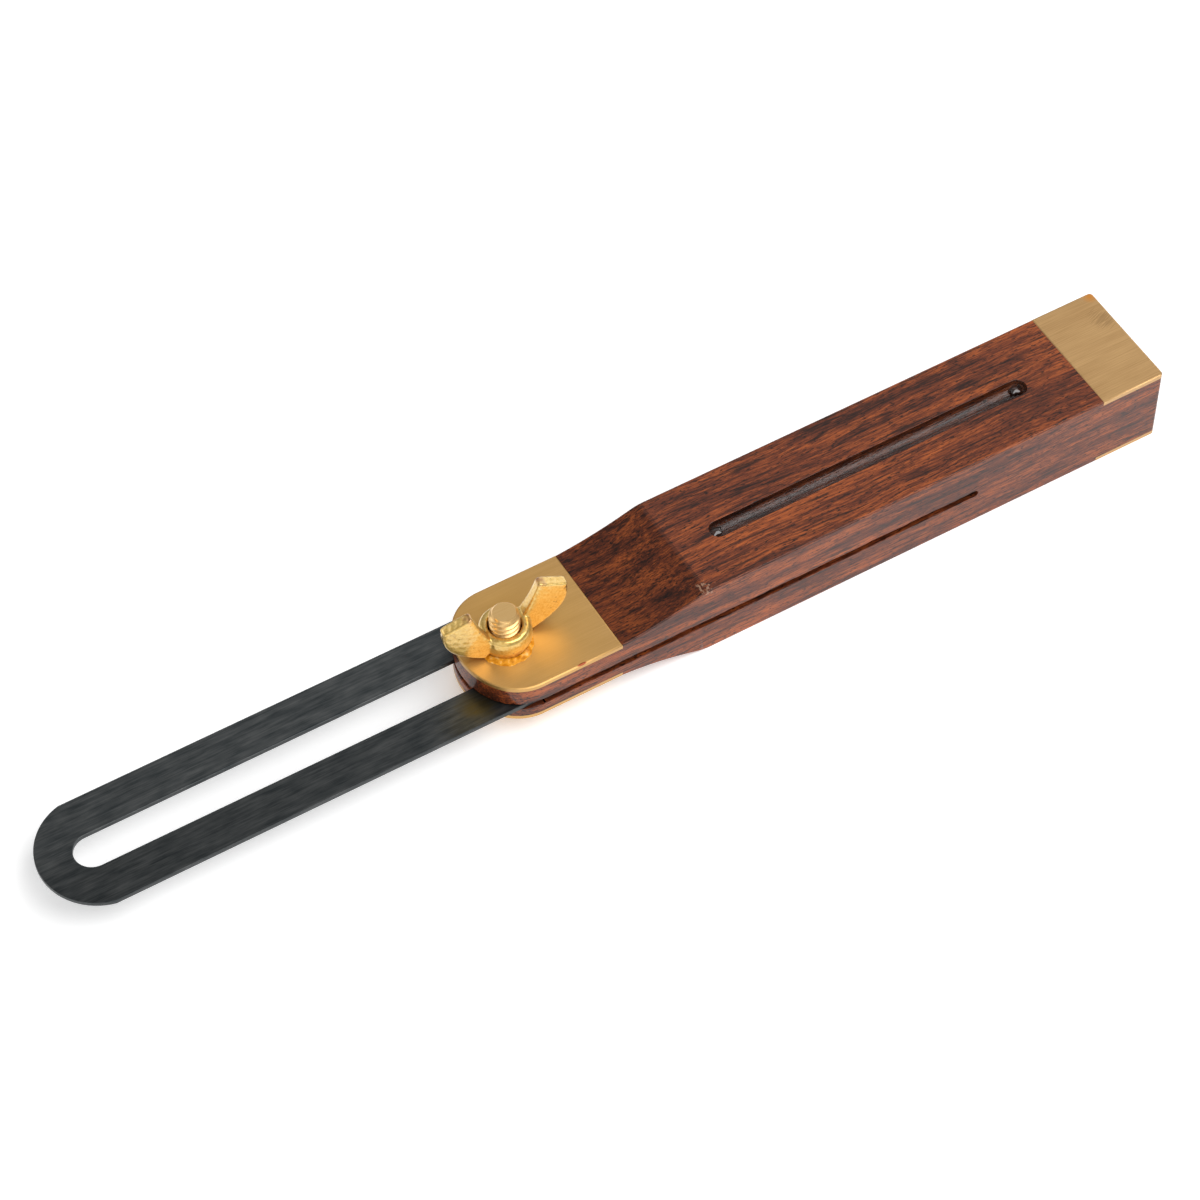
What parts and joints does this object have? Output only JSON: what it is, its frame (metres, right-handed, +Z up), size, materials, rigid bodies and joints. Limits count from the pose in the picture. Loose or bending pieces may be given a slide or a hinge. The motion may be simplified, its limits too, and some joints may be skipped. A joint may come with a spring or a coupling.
{
  "type": "sliding bevel",
  "caption": "Sliding bevel: wooden stock with brass wear plates, and a slotted steel blade that swings and slides on a screw clamped by a wing nut.",
  "frame": {"origin": "under the middle of the tool with its blade drawn right out, at the height of the face that the stock rests on", "axes": "+X along the stock from the blade's tip to the butt, +Y across it, +Z up along the screw to the wing nut"},
  "size_m": [0.2396, 0.025, 0.0267],
  "materials": {
    "rosewood": "clear lacquer over oiled rosewood",
    "plate_brass": "brushed lengthwise and lacquered",
    "blued_steel": "brushed lengthwise and blued dark",
    "screw_brass": "turned bright and lacquered",
    "cast_brass": "cast, tumbled and lacquered"
  },
  "bodies": {
    "stock": {"stock": "rosewood", "front_plate_top": "plate_brass", "front_plate_bottom": "plate_brass", "butt_plate_top": "plate_brass", "butt_plate_bottom": "plate_brass"},
    "screw": {"pivot_screw": "screw_brass"},
    "blade": {"blade": "blued_steel"},
    "nut": {"wing_nut": "cast_brass"}
  },
  "joints": [
    {"name": "blade_swing", "type": "hinge", "parent": "stock", "child": "screw", "pos_m": [-0.02245, 0, 0.0083], "axis": [0, 0, 1], "continuous": true},
    {"name": "blade_slide", "type": "slide", "parent": "screw", "child": "blade", "axis": [1, 0, 0], "range_m": [0, 0.086]},
    {"name": "nut_turn", "type": "hinge", "parent": "screw", "child": "nut", "pos_m": [-0.02245, 0, 0.016], "axis": [0, 0, 1], "range_deg": [0, 360]}
  ]
}
